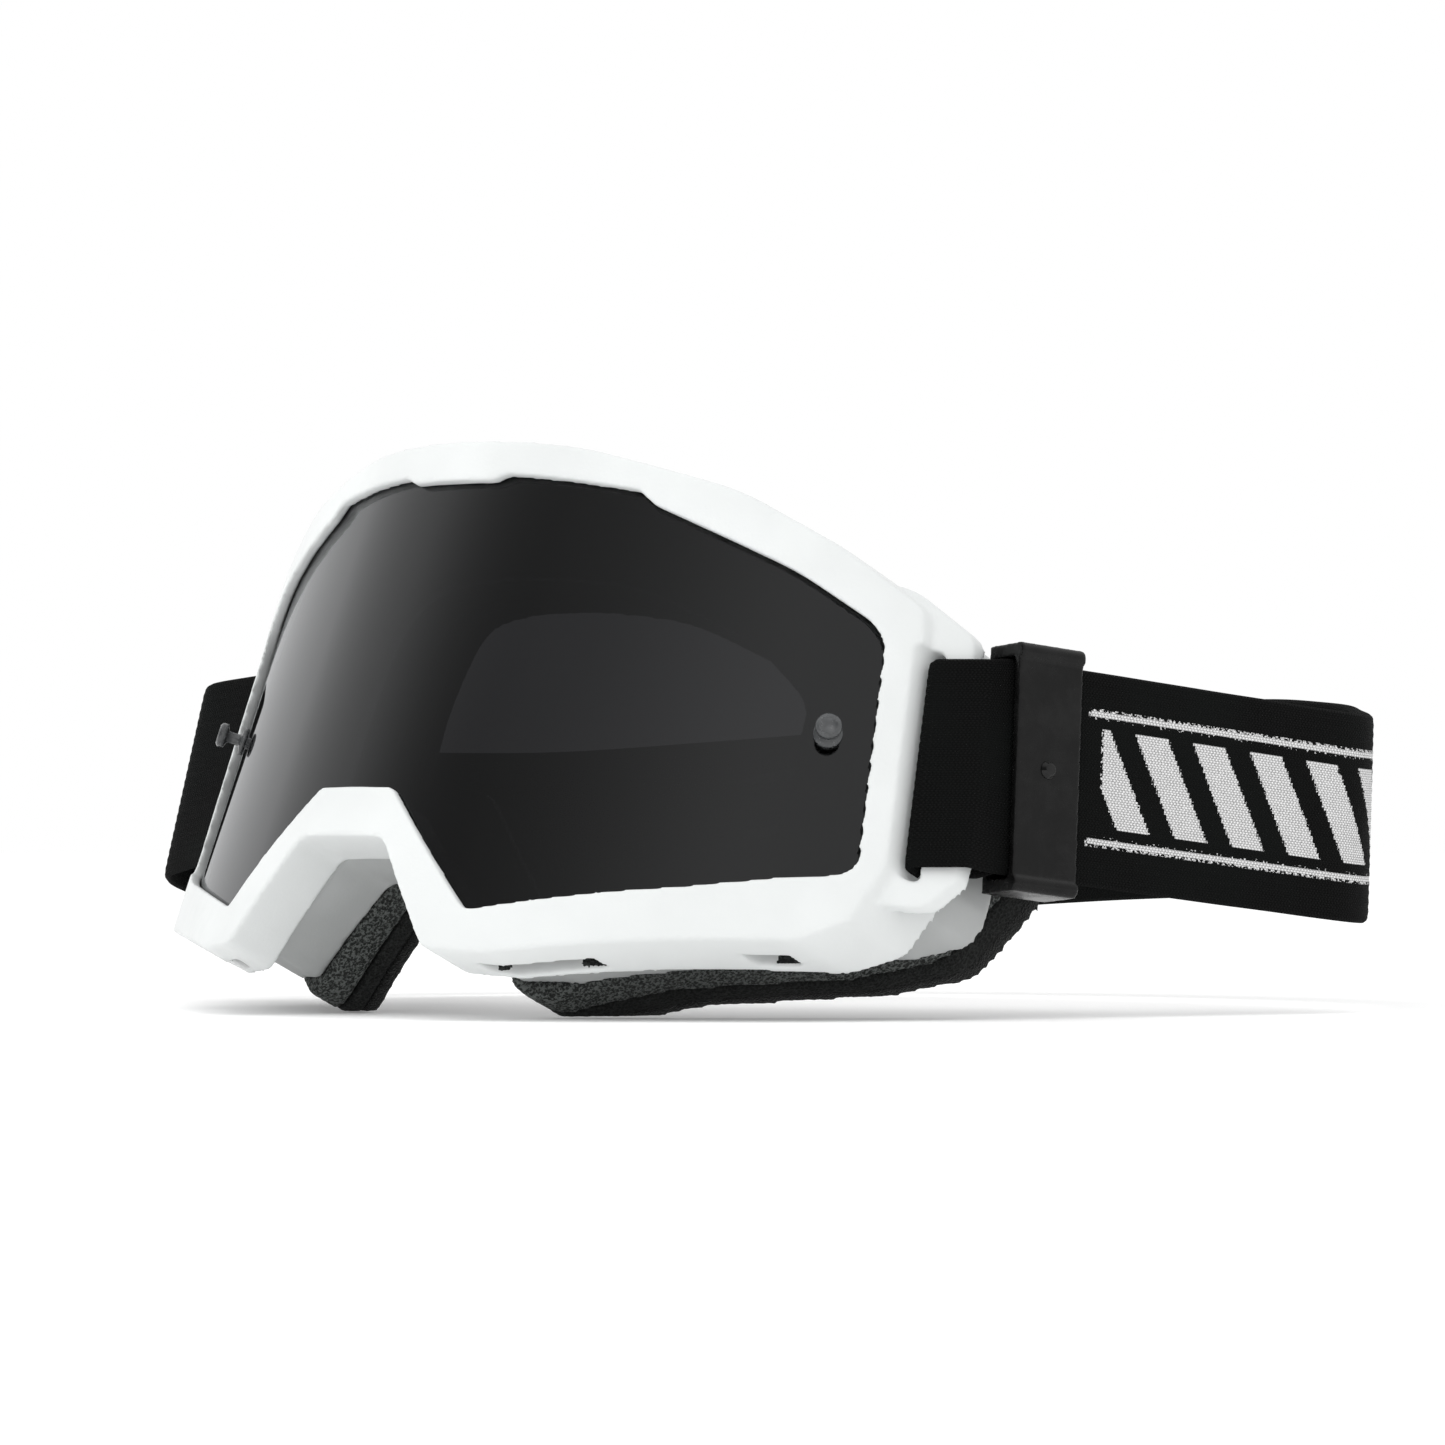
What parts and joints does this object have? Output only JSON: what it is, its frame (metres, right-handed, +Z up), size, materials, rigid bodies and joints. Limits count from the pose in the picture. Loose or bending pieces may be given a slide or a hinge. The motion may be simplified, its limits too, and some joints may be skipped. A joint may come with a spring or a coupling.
{
  "type": "motorcycle goggles",
  "caption": "Off-road goggles with a wrapped frame, smoke lens, tear-off posts, layered face foam and an elastic head strap with a sliding keeper.",
  "frame": {"origin": "middle of the bounding box's base: the surface that the goggles rest on, on their cheek foam", "axes": "+Z up, +X towards the wearer's left, +Y from the lens towards the back of the strap"},
  "size_m": [0.2277, 0.2131, 0.1024],
  "materials": {
    "frame_white": "satin flexible polyurethane",
    "skirt_grey": "satin flexible polyurethane",
    "lens_smoke": "smoke polycarbonate",
    "post_smoke": "gloss",
    "mesh_foam": "open-cell filter foam",
    "foam_charcoal": "open-cell foam",
    "foam_black": "soft foam",
    "fleece_black": "brushed fleece",
    "strap_webbing": "woven elastic",
    "strap_thread": "stitched thread",
    "grip_silicone": "silicone",
    "keeper_black": "gloss",
    "stud_black": "gloss"
  },
  "bodies": {
    "goggles": {"frame_rim": "frame_white", "face_skirt": "skirt_grey", "lens": "lens_smoke", "tear_off_post_right": "post_smoke", "tear_off_post_left": "post_smoke", "post_clip_right": "post_smoke", "post_clip_left": "post_smoke", "vent_mesh_top": "mesh_foam", "vent_mesh_bottom_right": "mesh_foam", "vent_mesh_bottom_left": "mesh_foam", "foam_base": "foam_charcoal", "foam_mid": "foam_black", "foam_fleece": "fleece_black", "strap_band": "strap_webbing", "strap_tail_right": "strap_webbing", "strap_tail_left": "strap_webbing", "bar_tack_right": "strap_thread", "bar_tack_left": "strap_thread", "grip_bead_top": "grip_silicone", "grip_bead_middle": "grip_silicone", "grip_bead_bottom": "grip_silicone"},
    "keeper": {"keeper_sleeve": "keeper_black", "keeper_stud": "stud_black"}
  },
  "joints": [
    {"name": "keeper_slide", "type": "slide", "parent": "goggles", "child": "keeper", "axis": [0.219, 0.9693, -0.112], "range_m": [0, 0.045]}
  ]
}
